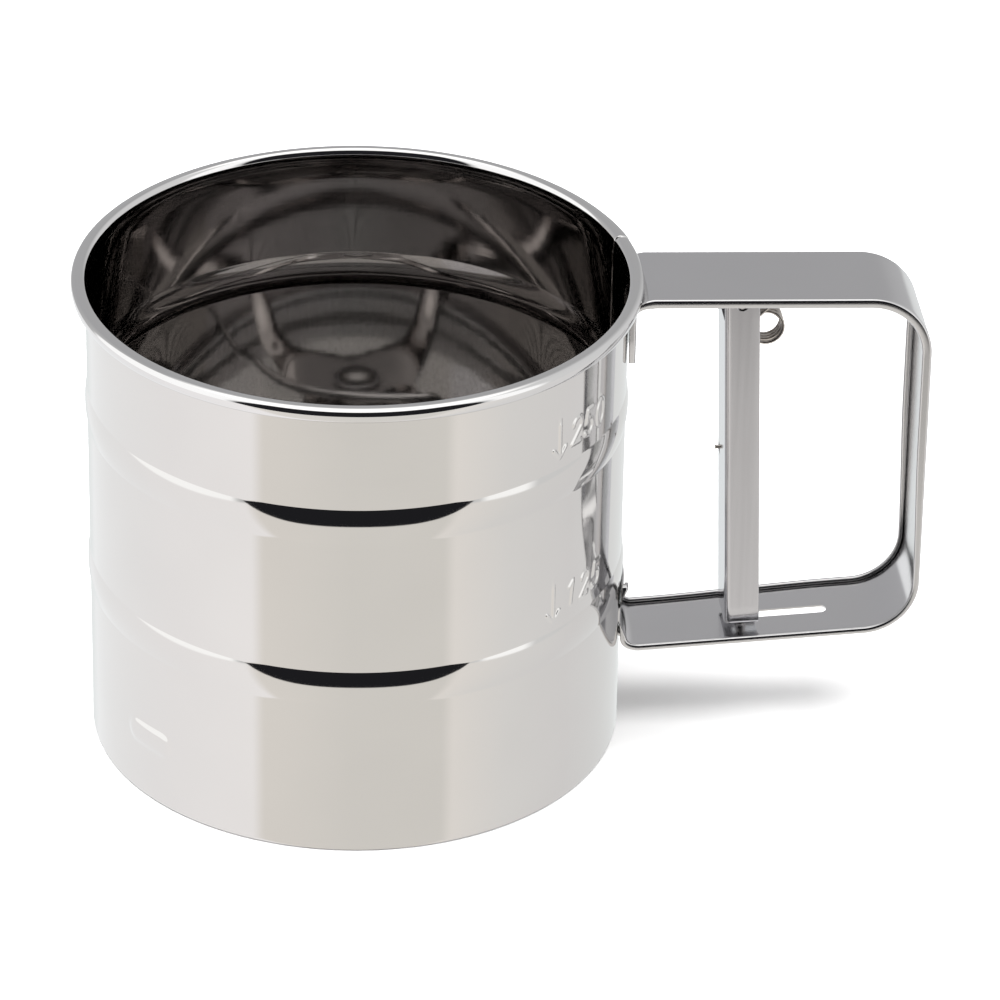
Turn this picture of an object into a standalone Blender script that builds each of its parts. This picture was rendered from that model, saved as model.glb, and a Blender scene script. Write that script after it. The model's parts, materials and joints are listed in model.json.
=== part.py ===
"""Flour sifter: a beaded sheet-steel cup with a squeeze handle.

Squeezing the trigger lever pulls a wire rod through the cup wall, and the rod swings a three-bladed
agitator over the sieve. Lengths are in millimetres in the cup's own frame, which has its axis at
x = 0, its foot at z = 0 and the handle towards +x. An empty carries that frame, moved along x so
that the whole object is centred on the origin.
"""

import math

import bmesh
import bpy
from mathutils import Vector

MM = 0.001
GAP = 0.3
MERGE = 1e-5

# Cup
BODY_R = 50.0
SHEET = 0.5
HEM_TOP = 4.0
HEM_INNER_R = 48.9
WALL_COLUMNS = 60
BEAD_Z = (34.8, 68.7)
BEAD_HALF = 3.5
BEAD_RISE = 0.4
ROLL_Z = 92.5
ROLL_CENTRE_R = 51.2
ROLL_OUTER = 1.5
ROLL_INNER = 1.0
RIM_WIRE_R = 0.65

# Pockets pressed out of the wall for the ends of the cross bar
BAR_AZIMUTH = 36.3
POCKET_Z = 13.2
POCKET_DEPTH = 1.1
POCKET_HALF_LENGTH = 6.4
POCKET_HALF_HEIGHT = 3.3
POCKET_WALL = 0.6

# Handle strap. Its outer face is the one away from the fingers.
STRAP_HALF = 9.85
STRAP_SHEET = 0.52
CURL = 1.86
TAB_X = BODY_R + GAP
UPPER_TAB_END = 78.2
UPPER_BEND = (54.1, 87.7, 3.8)
TOP_CORNER = (93.9, 78.45, 12.0)
GRIP_X = 106.1
LOW_CORNER = (95.3, 29.4, 10.8)
LOWER_BEND = (53.3, 19.35, 3.0)
LOWER_TAB_END = 30.6
TOP_TILT = 1.5
LOW_TILT = 3.13
SLOT_X = (71.8, 90.05)
SLOT_Z = 17.5
SLOT_HALF = 1.3

# Trigger lever, in a frame with the pivot at its origin and -z running down the lever
PIVOT = Vector((70.7, 0.0, 87.9))
LEVER_TILT = math.radians(2.0)
LEVER_HALF_DEPTH = 3.25
LEVER_HALF_WIDTH = 6.0
LEVER_SHEET = 0.6
LEVER_TOP = 4.0
LEVER_LENGTH = 68.7
EAR_R = 2.0
PIN_R = 0.9

# Hinge bracket
BRACKET_EAR = (4.4, 5.0)
BRACKET_BRIDGE = (1.5, 2.35)

# Return spring
WIRE_R = 0.38
COIL_CENTRE = (75.9, 81.5)
COIL_R = 3.1
COIL_HALF = 1.95
COIL_TURNS = 4.125
COIL_START = 135.0
HOOK_Y = 3.2
HOOK_Z = 53.0

# Push rod
ROD_R = 1.0
ROD_X = 73.5
ROD_Z = 15.0
ROD_TOP = 24.2
ROD_INNER_Z = 19.2
CRANK_Y = 14.5
CRANK_X = -7.542
ROD_BEND = 2.0
CLIP_R = 2.2
CLIP_Z = (23.0, 23.6)

# Stack on the centre rivet: bottom and top of each piece
RIVET_R = 1.5
BORE_R = RIVET_R + GAP
BAR_LEVEL = (9.9, 10.7)
LOWER_WASHER = (11.0, 11.6)
MESH_LEVEL = (11.9, 12.5)
UPPER_WASHER = (12.8, 13.4)
BUSH = (13.7, 15.7)
HUB_LEVEL = (16.0, 16.7)
HEAD_WASHER = (17.0, 17.5)
RIVET_TAIL = (8.3, 9.6)
RIVET_HEAD = (17.8, 19.3)
MESH_R = 48.9
MESH_WASHER_R = 5.0
BUSH_R = 3.4
HEAD_WASHER_R = 4.4
LOWER_RING_R = (45.8, 48.2)
LOWER_RING = (11.0, 11.6)
UPPER_RING_R = (46.6, 49.0)
UPPER_RING = (12.8, 13.5)

# Cross bar
BAR_HALF_WIDTH = 4.5
BAR_END_R = (49.4, 50.0)
BAR_END_Z = 15.0

# Agitator
ARM_AZIMUTHS = (-25.0, 95.0, -145.0)
HUB_R = 11.0
ARM_R = (5.0, 46.0)
ARM_SHEET = 0.66
LUG_HALF = 3.6
LUG_END_R = 20.6
CRANK_R = math.hypot(CRANK_X, CRANK_Y)
LUG_AZIMUTH = math.degrees(math.atan2(CRANK_Y, CRANK_X))

# The rim on one side and the grip on the other are the object's ends along x.
CENTRE_X = (GRIP_X - (ROLL_CENTRE_R + ROLL_OUTER)) / 2

STEEL = (0.74, 0.74, 0.76)
DARK_STEEL = (0.55, 0.54, 0.52)


# ---------------------------------------------------------------- scene


def clear_scene():
    for obj in list(bpy.data.objects):
        bpy.data.objects.remove(obj)
    for collection in list(bpy.data.collections):
        bpy.data.collections.remove(collection)


def new_collection(name):
    collection = bpy.data.collections.new(name)
    bpy.context.scene.collection.children.link(collection)
    return collection


def new_frame(name, location, turn_y=0.0, parent=None):
    """An empty that other objects are placed in."""
    frame = bpy.data.objects.new(name, None)
    PARTS.objects.link(frame)
    frame.parent = parent
    frame.location = Vector(location) * MM
    frame.rotation_euler.y = turn_y
    return frame


clear_scene()
PARTS = new_collection("flour_sifter")
CUTTERS = new_collection("cutters")
CUTTERS.hide_render = True
CUP_FRAME = new_frame("cup_frame", (-CENTRE_X, 0.0, 0.0))
LEVER_FRAME = new_frame("lever_frame", PIVOT, -LEVER_TILT, CUP_FRAME)


def steel(name, colour, roughness):
    material = bpy.data.materials.new(name)
    material.use_nodes = True
    shader = material.node_tree.nodes["Principled BSDF"]
    shader.inputs["Base Color"].default_value = (*colour, 1.0)
    shader.inputs["Metallic"].default_value = 1.0
    shader.inputs["Roughness"].default_value = roughness
    return material


def add(name, data, location=(0.0, 0.0, 0.0), turn=(0.0, 0.0, 0.0), frame=CUP_FRAME):
    """An object placed in a frame, in millimetres and degrees."""
    obj = bpy.data.objects.new(name, data)
    obj.parent = frame
    obj.location = Vector(location) * MM
    obj.rotation_euler = [math.radians(a) for a in turn]
    PARTS.objects.link(obj)
    return obj


def part(obj, colour=STEEL, roughness=0.2, sharp_angle=None):
    """Gives a finished part its own material, and smooth shading if it is round."""
    obj.data.materials.append(steel(obj.name, colour, roughness))
    if sharp_angle is not None:
        obj.data.shade_smooth()
        obj.data.set_sharp_from_angle(angle=math.radians(sharp_angle))
    return obj


def boolean(obj, other, operation="DIFFERENCE"):
    """Cuts the other object from this one, or joins it on, and puts it with the cutters."""
    PARTS.objects.unlink(other)
    CUTTERS.objects.link(other)
    other.hide_render = True
    other.display_type = "WIRE"
    modifier = obj.modifiers.new(f"{operation.lower()}_{other.name}", "BOOLEAN")
    modifier.operation = operation
    modifier.solver = "EXACT"
    modifier.object = other


# ---------------------------------------------------------------- kinds of shape


def box(name, low, high, frame=CUP_FRAME):
    """A block between two corners."""
    build = bmesh.new()
    bmesh.ops.create_cube(build, size=MM)
    size = Vector(high) - Vector(low)
    bmesh.ops.scale(build, vec=size, verts=build.verts)
    return add(name, to_mesh(name, build), (Vector(low) + Vector(high)) / 2, frame=frame)


def cylinder(name, radius, length, centre, turn=(0.0, 0.0, 0.0), segments=16, frame=CUP_FRAME):
    """A round bar along its own z."""
    build = bmesh.new()
    bmesh.ops.create_cone(
        build, cap_ends=True, segments=segments, radius1=radius * MM, radius2=radius * MM, depth=length * MM
    )
    return add(name, to_mesh(name, build), centre, turn, frame)


def to_mesh(name, build):
    mesh = bpy.data.meshes.new(name)
    build.to_mesh(mesh)
    build.free()
    return mesh


def turned(name, profile, steps, location=(0.0, 0.0, 0.0), closed=True):
    """A shape turned about z from (radius, height) points that run down its outer side."""
    points = [(r * MM, 0.0, z * MM) for r, z in profile]
    edges = [(i, i + 1) for i in range(len(points) - 1)]
    if closed:
        edges.append((len(points) - 1, 0))
    mesh = bpy.data.meshes.new(name)
    mesh.from_pydata(points, edges, [])
    obj = add(name, mesh, location)
    screw = obj.modifiers.new("turn", "SCREW")
    screw.steps = steps
    screw.render_steps = steps
    screw.use_merge_vertices = True
    screw.merge_threshold = MERGE
    screw.use_smooth_shade = False
    return obj


def ring(name, inner_r, outer_r, level, steps, location=(0.0, 0.0, 0.0)):
    """A flat washer between two heights."""
    low, high = level
    profile = [(outer_r, high), (outer_r, low), (inner_r, low), (inner_r, high)]
    return turned(name, profile, steps, location)


def wire(name, path, radius, origin):
    """A round wire along a path of points, with its origin at a chosen point."""
    curve = bpy.data.curves.new(name, "CURVE")
    curve.dimensions = "3D"
    curve.bevel_depth = radius * MM
    curve.bevel_resolution = 2
    curve.use_fill_caps = True
    spline = curve.splines.new("POLY")
    spline.points.add(len(path) - 1)
    for point, place in zip(spline.points, path):
        point.co = (*((Vector(place) - Vector(origin)) * MM), 1.0)
    return add(name, curve, origin)


def plate(name, outline, half, location=(0.0, 0.0, 0.0), turn=(0.0, 0.0, 0.0), frame=CUP_FRAME):
    """A flat outline of (x, y) points, extruded both ways along its own z and made a mesh."""
    curve = bpy.data.curves.new(name, "CURVE")
    curve.dimensions = "2D"
    curve.fill_mode = "BOTH"
    curve.extrude = half * MM
    spline = curve.splines.new("POLY")
    spline.points.add(len(outline) - 1)
    for point, (x, y) in zip(spline.points, outline):
        point.co = (x * MM, y * MM, 0.0, 1.0)
    spline.use_cyclic_u = True
    guide = add(f"{name}_outline", curve)
    graph = bpy.context.evaluated_depsgraph_get()
    mesh = bpy.data.meshes.new_from_object(guide.evaluated_get(graph))
    bpy.data.objects.remove(guide)
    build = bmesh.new()
    build.from_mesh(mesh)
    bmesh.ops.remove_doubles(build, verts=build.verts, dist=MERGE)
    bmesh.ops.recalc_face_normals(build, faces=build.faces)
    build.to_mesh(mesh)
    build.free()
    return add(name, mesh, location, turn, frame)


def sheet(name, columns, rows, bent, thickness, location=(0.0, 0.0, 0.0), turn=(0.0, 0.0, 0.0)):
    """A flat grid moved to bent(column, row), then thickened on the side away from its normals."""
    build = bmesh.new()
    bmesh.ops.create_grid(build, x_segments=columns, y_segments=rows, size=0.5)
    for vert in build.verts:
        column = round((vert.co.x + 0.5) * columns)
        row = round((vert.co.y + 0.5) * rows)
        vert.co = Vector(bent(column, row)) * MM
    obj = add(name, to_mesh(name, build), location, turn)
    solid = obj.modifiers.new("thickness", "SOLIDIFY")
    solid.thickness = thickness * MM
    solid.offset = -1.0
    solid.use_even_offset = True
    return obj


# ---------------------------------------------------------------- outlines and paths


def arc(centre_x, centre_y, radius, start, end, steps):
    """(x, y, angle) along an arc, the start and end in degrees and the angle in radians."""
    found = []
    for i in range(steps + 1):
        angle = math.radians(start + (end - start) * i / steps)
        x = centre_x + radius * math.cos(angle)
        found.append((x, centre_y + radius * math.sin(angle), angle))
    return found


def arc_points(*args):
    return [(x, y) for x, y, _ in arc(*args)]


def pill(half_length, half_height, steps=6):
    """An oblong with round ends, centred on the origin."""
    reach = half_length - half_height
    right = arc_points(reach, 0.0, half_height, -90, 90, steps)
    left = arc_points(-reach, 0.0, half_height, 90, 270, steps)
    return right + left


def rounded_path(corners, radius, steps):
    """A polyline with each inner corner replaced by a short curve."""
    corners = [Vector(c) for c in corners]
    path = [corners[0]]
    for before, corner, after in zip(corners, corners[1:], corners[2:]):
        start = corner + (before - corner).normalized() * radius
        end = corner + (after - corner).normalized() * radius
        for i in range(steps + 1):
            t = i / steps
            path.append((1 - t) ** 2 * start + 2 * t * (1 - t) * corner + t * t * end)
    path.append(corners[-1])
    return path


def blend(low, high, value):
    """0 below low, 1 above high, and a smooth step between."""
    t = min(max((value - low) / (high - low), 0.0), 1.0)
    return t * t * (3 - 2 * t)


def polar(radius, azimuth, z):
    turn = math.radians(azimuth)
    return (radius * math.cos(turn), radius * math.sin(turn), z)


# ---------------------------------------------------------------- cup


def bead(radius):
    """The points of both beads on a wall face of that radius, from the foot up."""
    points = []
    for centre in BEAD_Z:
        for share, rise in ((-1.0, 0.0), (-0.5, 0.7), (0.0, 1.0), (0.5, 0.7), (1.0, 0.0)):
            points.append((radius + rise * BEAD_RISE, centre + share * BEAD_HALF))
    return points


def wall_profile():
    """The cup's section, from the rim's roll down the outer face and up the inner one."""
    inner_r = BODY_R - SHEET
    roll = (ROLL_CENTRE_R, ROLL_Z)
    profile = arc_points(*roll, ROLL_OUTER, 180, -120, 7)
    profile += arc_points(*roll, ROLL_INNER, -120, 180, 7)
    profile += [(BODY_R, ROLL_Z - 1.45)]
    profile += list(reversed(bead(BODY_R)))
    profile += [(BODY_R, 0.0), (HEM_INNER_R, 0.0), (HEM_INNER_R, HEM_TOP), (inner_r, HEM_TOP + 0.4)]
    profile += bead(inner_r)
    profile += [(inner_r, ROLL_Z - 1.65)]
    return profile


def pocket_block(name, azimuth, half_length, half_height, radii):
    """An oblong block that looks out along an azimuth between two radii."""
    middle = (radii[0] + radii[1]) / 2
    half = (radii[1] - radii[0]) / 2
    outline = pill(half_length, half_height)
    return plate(name, outline, half, polar(middle, azimuth, POCKET_Z), (90, 0, azimuth + 90))


def build_cup():
    cup = turned("cup_wall", wall_profile(), WALL_COLUMNS)
    hollow = (POCKET_HALF_LENGTH - POCKET_WALL, POCKET_HALF_HEIGHT - POCKET_WALL)
    for side, azimuth in (("far", BAR_AZIMUTH), ("near", BAR_AZIMUTH + 180)):
        outer = BODY_R + POCKET_DEPTH
        radii = (BODY_R - SHEET / 2, outer)
        half = (POCKET_HALF_LENGTH, POCKET_HALF_HEIGHT)
        boolean(cup, pocket_block(f"pocket_{side}", azimuth, *half, radii), "UNION")
        radii = (BODY_R - 8 * SHEET, outer - SHEET)
        boolean(cup, pocket_block(f"pocket_{side}_hollow", azimuth, *hollow, radii))
    boolean(cup, cylinder("rod_hole", ROD_R + GAP, 6.0, (BODY_R, 0.0, ROD_Z), (0, 90, 0)))
    part(cup, sharp_angle=40)


def build_rim_wire():
    bpy.ops.mesh.primitive_torus_add(
        major_segments=WALL_COLUMNS,
        minor_segments=6,
        major_radius=ROLL_CENTRE_R * MM,
        minor_radius=RIM_WIRE_R * MM,
    )
    torus = bpy.context.object
    rim_wire = add("rim_wire", torus.data, (0.0, 0.0, ROLL_Z))
    bpy.data.objects.remove(torus)
    part(rim_wire, sharp_angle=70)


# ---------------------------------------------------------------- handle


def strap_stations():
    """(x, z, angle, wrap, width) of the outer face along the strap, from the upper tab to the lower.

    The angle is the direction that the outer face looks in, and wrap is how far the strap is bent
    round the cup there.
    """
    left = math.pi
    up = 90 - TOP_TILT
    down = -90 + LOW_TILT
    end = ((0.0, 0.95), (0.6, 1.0))
    found = [(TAB_X, UPPER_TAB_END + away, left, 1.0, width) for away, width in end]
    for x, z, a in arc(*UPPER_BEND, 180, up, 4):
        found.append((x, z, a, blend(53.5, TAB_X, x), 1.0))
    found += [(x, z, a, 0.0, 1.0) for x, z, a in arc(*TOP_CORNER, up, 0, 6)]
    found += [(x, z, a, 0.0, 1.0) for x, z, a in arc(*LOW_CORNER, 0, down, 6)]
    for x, z, a in arc(*LOWER_BEND, down, -180, 4):
        found.append((x, z, a, blend(54.5, TAB_X, x), 1.0))
    found += [(TAB_X, LOWER_TAB_END - away, left, 1.0, width) for away, width in reversed(end)]
    return found


def strap_section():
    """The strap's outer face as (y, depth from that face), from one curled edge to the other."""
    edge = STRAP_HALF
    half = [(0.0, 0.0), (3.3, 0.0), (6.6, 0.0), (edge - 0.7, 0.0), (edge, 0.65), (edge, 1.2)]
    half += [(edge - 0.65, CURL), (edge - 1.35, CURL)]
    return [(-y, depth) for y, depth in reversed(half[1:])] + half


def build_strap():
    stations = strap_stations()
    section = strap_section()

    def bent(column, row):
        x, z, angle, wrap, width = stations[column]
        y, depth = section[row]
        y *= width
        depth *= 1.0 - 0.3 * max(wrap, blend(60.0, 30.0, z))
        round_cup = wrap * (TAB_X - math.sqrt(TAB_X**2 - y**2))
        return (x - depth * math.cos(angle) - round_cup, y, z - depth * math.sin(angle))

    strap = sheet("handle_strap", len(stations) - 1, len(section) - 1, bent, STRAP_SHEET)
    outline = pill((SLOT_X[1] - SLOT_X[0]) / 2, SLOT_HALF)
    middle = (sum(SLOT_X) / 2, 0.0, SLOT_Z)
    boolean(strap, plate("strap_slot", outline, 3.5, middle))
    part(strap, roughness=0.3)


def build_bracket():
    """Two ears on a bridge that is spot-welded under the strap, and the pin between them."""
    low, high = BRACKET_EAR
    outline = [(-2.2, 1.7), (-2.2, -0.6), (-1.2, -2.0), (1.2, -2.0), (2.2, -0.6), (2.2, 1.7)]
    half = (high - low) / 2
    ears = []
    for name, y in (("hinge_bracket", -(low + half)), ("bracket_ear", low + half)):
        ears.append(plate(name, outline, half, PIVOT + Vector((0.0, y, 0.0)), (90, 0, 0)))
    bracket, other_ear = ears
    low_corner = PIVOT + Vector((-2.5, -high - 0.1, BRACKET_BRIDGE[0]))
    high_corner = PIVOT + Vector((2.5, high + 0.1, BRACKET_BRIDGE[1]))
    boolean(bracket, box("bracket_bridge", low_corner, high_corner), "UNION")
    boolean(bracket, other_ear, "UNION")
    boolean(bracket, cylinder("bracket_bore", PIN_R + GAP, 16.0, PIVOT, (90, 0, 0), 12))
    part(bracket)
    length = 2 * (LEVER_HALF_WIDTH + 0.35)
    pin = cylinder("pivot_pin", PIN_R, length, PIVOT, (90, 0, 0), 12)
    part(pin, DARK_STEEL, sharp_angle=50)


# ---------------------------------------------------------------- lever and spring


def lever_section():
    """The channel's section as (x, y): a web towards the cup and a flange on each side."""
    deep = LEVER_HALF_DEPTH
    wide = LEVER_HALF_WIDTH
    inner = deep - LEVER_SHEET
    half = [(-deep, wide - 1.0), (-deep + 0.3, wide - 0.3), (-deep + 1.0, wide), (deep, wide)]
    half += [(deep, wide - LEVER_SHEET), (-inner + 0.4, wide - LEVER_SHEET), (-inner, wide - 1.0)]
    return [(x, -y) for x, y in reversed(half)] + half


def build_lever():
    deep = LEVER_HALF_DEPTH
    wide = LEVER_HALF_WIDTH
    foot = -LEVER_LENGTH
    half_length = (LEVER_LENGTH + LEVER_TOP) / 2
    # The channel is extruded about its own middle, then moved so that its origin is the pivot.
    lever = plate("trigger_lever", lever_section(), half_length, frame=LEVER_FRAME)
    for vertex in lever.data.vertices:
        vertex.co.z += (LEVER_TOP - half_length) * MM
    ear = [(-3.6, -0.8)] + arc_points(0.0, 0.0, EAR_R, 180, 0, 10) + [(3.6, -0.8)]
    top = ear + [(6.0, -0.8), (6.0, 6.0), (-6.0, 6.0), (-6.0, -0.8)]
    boolean(lever, plate("lever_top", top, 9.0, turn=(90, 0, 0), frame=LEVER_FRAME))
    boolean(lever, box("web_top", (-5.0, -5.0, -3.4), (-1.5, 5.0, 5.0), LEVER_FRAME))
    low = (0.25 - deep, 0.3 - wide, foot + 0.1)
    high = (deep - 0.2, wide - 0.3, foot + 0.7)
    boolean(lever, box("lever_foot", low, high, LEVER_FRAME), "UNION")
    bore = cylinder("lever_bore", PIN_R + GAP, 18.0, (0.0, 0.0, 0.0), (90, 0, 0), 12, LEVER_FRAME)
    boolean(lever, bore)
    rod_x = ROD_X - PIVOT.x - LEVER_LENGTH * math.sin(LEVER_TILT)
    play = ROD_R + 0.5
    hole = box("foot_hole", (rod_x - play, -1.3, foot - 2.0), (rod_x + play, 1.3, foot + 3.0), LEVER_FRAME)
    boolean(lever, hole)
    hook_z = HOOK_Z - PIVOT.z
    reach = 2 * WIRE_R
    low = (-5.0, HOOK_Y - reach, hook_z - reach)
    high = (-1.0, HOOK_Y + reach, hook_z + reach)
    boolean(lever, box("hook_hole", low, high, LEVER_FRAME))
    part(lever, roughness=0.25)


def coil_points():
    """The spring's turns, along y."""
    x, z = COIL_CENTRE
    steps = round(12 * COIL_TURNS)
    points = []
    for i in range(steps + 1):
        share = i / steps
        angle = math.radians(COIL_START) + math.tau * COIL_TURNS * share
        y = COIL_HALF * (2 * share - 1)
        points.append((x + COIL_R * math.cos(angle), y, z + COIL_R * math.sin(angle)))
    return points


def build_spring():
    coil = coil_points()
    rise = Vector((1.0, 0.0, 1.0)).normalized()
    top = Vector(coil[0]) + rise * 8.2
    upper = [top + Vector((5.0, 0.0, 0.0)), top + Vector((0.8, 0.0, 0.05)), top - rise * 0.8]
    down = PIVOT.z - HOOK_Z
    web = PIVOT.x - LEVER_HALF_DEPTH * math.cos(LEVER_TILT) + down * math.sin(LEVER_TILT)
    x, z = COIL_CENTRE
    lower = [(x - COIL_R + 0.05, COIL_HALF, z - 1.5), (web + 1.5, HOOK_Y, HOOK_Z + 2.2)]
    lower += [(web + 1.2, HOOK_Y, HOOK_Z + 0.6), (web + 0.6, HOOK_Y, HOOK_Z), (web - 0.8, HOOK_Y, HOOK_Z)]
    part(wire("return_spring", upper + coil + lower, WIRE_R, PIVOT), DARK_STEEL)


# ---------------------------------------------------------------- rod, agitator and sieve


def build_rod():
    corners = [(ROD_X, 0.0, ROD_TOP), (ROD_X, 0.0, ROD_Z), (33.5, 0.0, ROD_Z), (22.0, 3.9, ROD_INNER_Z)]
    corners += [(CRANK_X, CRANK_Y, ROD_INNER_Z), (CRANK_X, CRANK_Y, ROD_Z)]
    origin = (ROD_X, 0.0, ROD_Z)
    part(wire("push_rod", rounded_path(corners, ROD_BEND, 3), ROD_R, origin))
    part(ring("rod_clip", ROD_R + GAP, CLIP_R, CLIP_Z, 12, (ROD_X, 0.0, 0.0)), DARK_STEEL)


def arm_height(r):
    """The upper face of a blade at that distance from the axis."""
    return HUB_LEVEL[1] - 0.02 - 1.4 * blend(12.0, 24.0, r) + 3.6 * blend(30.0, 45.0, r)


def build_blade(name, azimuth):
    """A strip from inside the hub to the wall, arched across its width."""
    columns = 10

    def bent(column, row):
        r = ARM_R[0] + (ARM_R[1] - ARM_R[0]) * column / columns
        half = 8.5 - 4.2 * blend(8.0, 26.0, r)
        across = (-1.0, -0.4, 0.4, 1.0)[row]
        arch = 1.1 * blend(6.0, 16.0, r) if row in (1, 2) else 0.0
        return (r, across * half, arm_height(r) + arch)

    return sheet(name, columns, 3, bent, ARM_SHEET, turn=(0, 0, azimuth))


def build_agitator():
    low, high = HUB_LEVEL
    middle = (low + high) / 2
    agitator = cylinder("agitator", HUB_R, high - low, (0.0, 0.0, middle), segments=24)
    for i, azimuth in enumerate(ARM_AZIMUTHS):
        boolean(agitator, build_blade(f"blade_{i + 1}", azimuth), "UNION")
    tip = LUG_END_R - 2.0
    lug = [(4.0, -LUG_HALF), (tip, -LUG_HALF), (LUG_END_R, -1.6)]
    lug += [(LUG_END_R, 1.6), (tip, LUG_HALF), (4.0, LUG_HALF)]
    turn = (0, 0, LUG_AZIMUTH)
    boolean(agitator, plate("crank_lug", lug, (high - low) / 2 - 0.04, (0.0, 0.0, middle), turn), "UNION")
    half = ROD_R + 0.4
    near = CRANK_Y - half
    far = CRANK_R + half
    slot = [(near, -half), (far, -half), (far, half), (near, half)]
    boolean(agitator, plate("crank_slot", slot, 4.0, (0.0, 0.0, middle), turn))
    boolean(agitator, cylinder("hub_bore", BORE_R, 8.0, (0.0, 0.0, middle)))
    part(agitator)


def build_bar():
    """A strip across the cup under the sieve, its ends turned up into the pockets."""
    low, high = BAR_LEVEL
    inner_r, outer_r = BAR_END_R
    outer = [(outer_r, BAR_END_Z), (outer_r, 12.6), (48.6, low)]
    inner = [(48.1, high), (inner_r, 12.8), (inner_r, BAR_END_Z)]
    outline = outer + [(-r, z) for r, z in reversed(outer)]
    outline += [(-r, z) for r, z in reversed(inner)] + inner
    bar = plate("cross_bar", outline, BAR_HALF_WIDTH, turn=(90, 0, BAR_AZIMUTH))
    boolean(bar, cylinder("bar_bore", BORE_R, 6.0, (0.0, 0.0, low)))
    part(bar)


def rivet_profile():
    """The rivet from the middle of its domed head down to the middle of its upset tail."""
    tail, head = RIVET_TAIL, RIVET_HEAD
    profile = [(0.0, head[1]), (1.5, head[1]), (2.9, head[0] + 0.9), (3.3, head[0])]
    profile += [(RIVET_R, head[0]), (RIVET_R, tail[1]), (2.8, tail[1])]
    return profile + [(2.8, tail[0] + 0.4), (1.8, tail[0]), (0.0, tail[0])]


def build_stack():
    part(ring("sieve_mesh", BORE_R, MESH_R, MESH_LEVEL, 48), roughness=0.35)
    part(ring("screen_ring_lower", *LOWER_RING_R, LOWER_RING, WALL_COLUMNS))
    part(ring("screen_ring_upper", *UPPER_RING_R, UPPER_RING, WALL_COLUMNS))
    part(ring("mesh_washer_lower", BORE_R, MESH_WASHER_R, LOWER_WASHER, 20))
    part(ring("mesh_washer_upper", BORE_R, MESH_WASHER_R, UPPER_WASHER, 20))
    part(ring("spacer_bush", BORE_R, BUSH_R, BUSH, 20))
    part(ring("head_washer", BORE_R, HEAD_WASHER_R, HEAD_WASHER, 20))
    part(turned("centre_rivet", rivet_profile(), 20, closed=False), DARK_STEEL)


build_cup()
build_rim_wire()
build_strap()
build_bracket()
build_lever()
build_spring()
build_rod()
build_agitator()
build_bar()
build_stack()
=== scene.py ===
"""Flour sifter: finely shaped polished-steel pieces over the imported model, with a studio and a camera.

Shapes are written in millimetres in the cup's own frame: its axis at x = 0, its foot at z = 0 and
the handle towards +x. place() turns them into the row frame in metres.
"""

import json
import math

import bmesh
import bpy
import numpy as np
from mathutils import Matrix, Vector


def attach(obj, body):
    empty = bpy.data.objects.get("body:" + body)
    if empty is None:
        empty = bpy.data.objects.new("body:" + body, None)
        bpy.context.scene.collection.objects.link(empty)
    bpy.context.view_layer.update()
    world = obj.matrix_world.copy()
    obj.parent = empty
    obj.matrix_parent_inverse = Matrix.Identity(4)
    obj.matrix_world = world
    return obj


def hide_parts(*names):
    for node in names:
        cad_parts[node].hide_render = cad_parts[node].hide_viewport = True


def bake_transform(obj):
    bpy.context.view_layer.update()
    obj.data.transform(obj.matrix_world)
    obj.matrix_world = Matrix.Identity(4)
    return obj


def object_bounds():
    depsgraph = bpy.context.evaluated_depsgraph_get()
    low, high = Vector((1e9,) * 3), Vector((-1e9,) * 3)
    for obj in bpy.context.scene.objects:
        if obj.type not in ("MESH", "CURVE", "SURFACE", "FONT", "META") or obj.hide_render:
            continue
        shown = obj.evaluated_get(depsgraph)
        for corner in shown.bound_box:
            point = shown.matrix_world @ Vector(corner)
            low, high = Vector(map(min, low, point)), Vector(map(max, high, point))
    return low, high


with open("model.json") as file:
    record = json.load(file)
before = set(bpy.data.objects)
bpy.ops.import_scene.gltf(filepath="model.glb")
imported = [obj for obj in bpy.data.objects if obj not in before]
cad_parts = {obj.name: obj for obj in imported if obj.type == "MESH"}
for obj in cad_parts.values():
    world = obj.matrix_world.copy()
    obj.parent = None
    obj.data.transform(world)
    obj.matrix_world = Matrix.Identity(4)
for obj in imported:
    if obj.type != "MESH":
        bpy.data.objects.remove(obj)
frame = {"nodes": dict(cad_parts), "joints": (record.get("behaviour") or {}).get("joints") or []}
CAD_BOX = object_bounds()

MM = 0.001
JOINTS = {joint["name"]: joint for joint in frame["joints"]}
AXIS_X = JOINTS["agitator_swing"]["pos_m"][0]
PIVOT_X = (JOINTS["trigger_pivot"]["pos_m"][0] - AXIS_X) / MM
PIVOT_Z = JOINTS["trigger_pivot"]["pos_m"][2] / MM

# Cup
BODY_R = 50.0
INNER_R = 49.5
ROLL_Z = 92.55
ROLL_CENTRE_R = 51.15
ROLL_HALF = 1.45
ROLL_SHEET = 0.5
ROLL_TURN = math.radians(-12.0)
SEAM_AZIMUTH = 12.5
BEAD_Z = (34.8, 68.7)
BEAD_HALF = 3.5
BEAD_RISE = 0.4
POCKET_Z = 13.2
POCKET_AZIMUTH = 36.3
POCKET_DEPTH = 0.38

# Handle strap
STRAP_HALF = 9.85
CURL = 1.86
TAB_X = 50.3
UPPER_TAB_END = 78.2
UPPER_BEND = (54.1, 87.7, 3.8)
TOP_CORNER = (93.9, 78.45, 12.0)
LOW_CORNER = (95.3, 29.4, 10.8)
LOWER_BEND = (53.3, 19.35, 3.0)
LOWER_TAB_END = 30.6
TOP_TILT = 1.5
LOW_TILT = 3.13
SLOT_X = (71.8, 90.05)
SLOT_Z = 17.5
SLOT_HALF = 1.3

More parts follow.
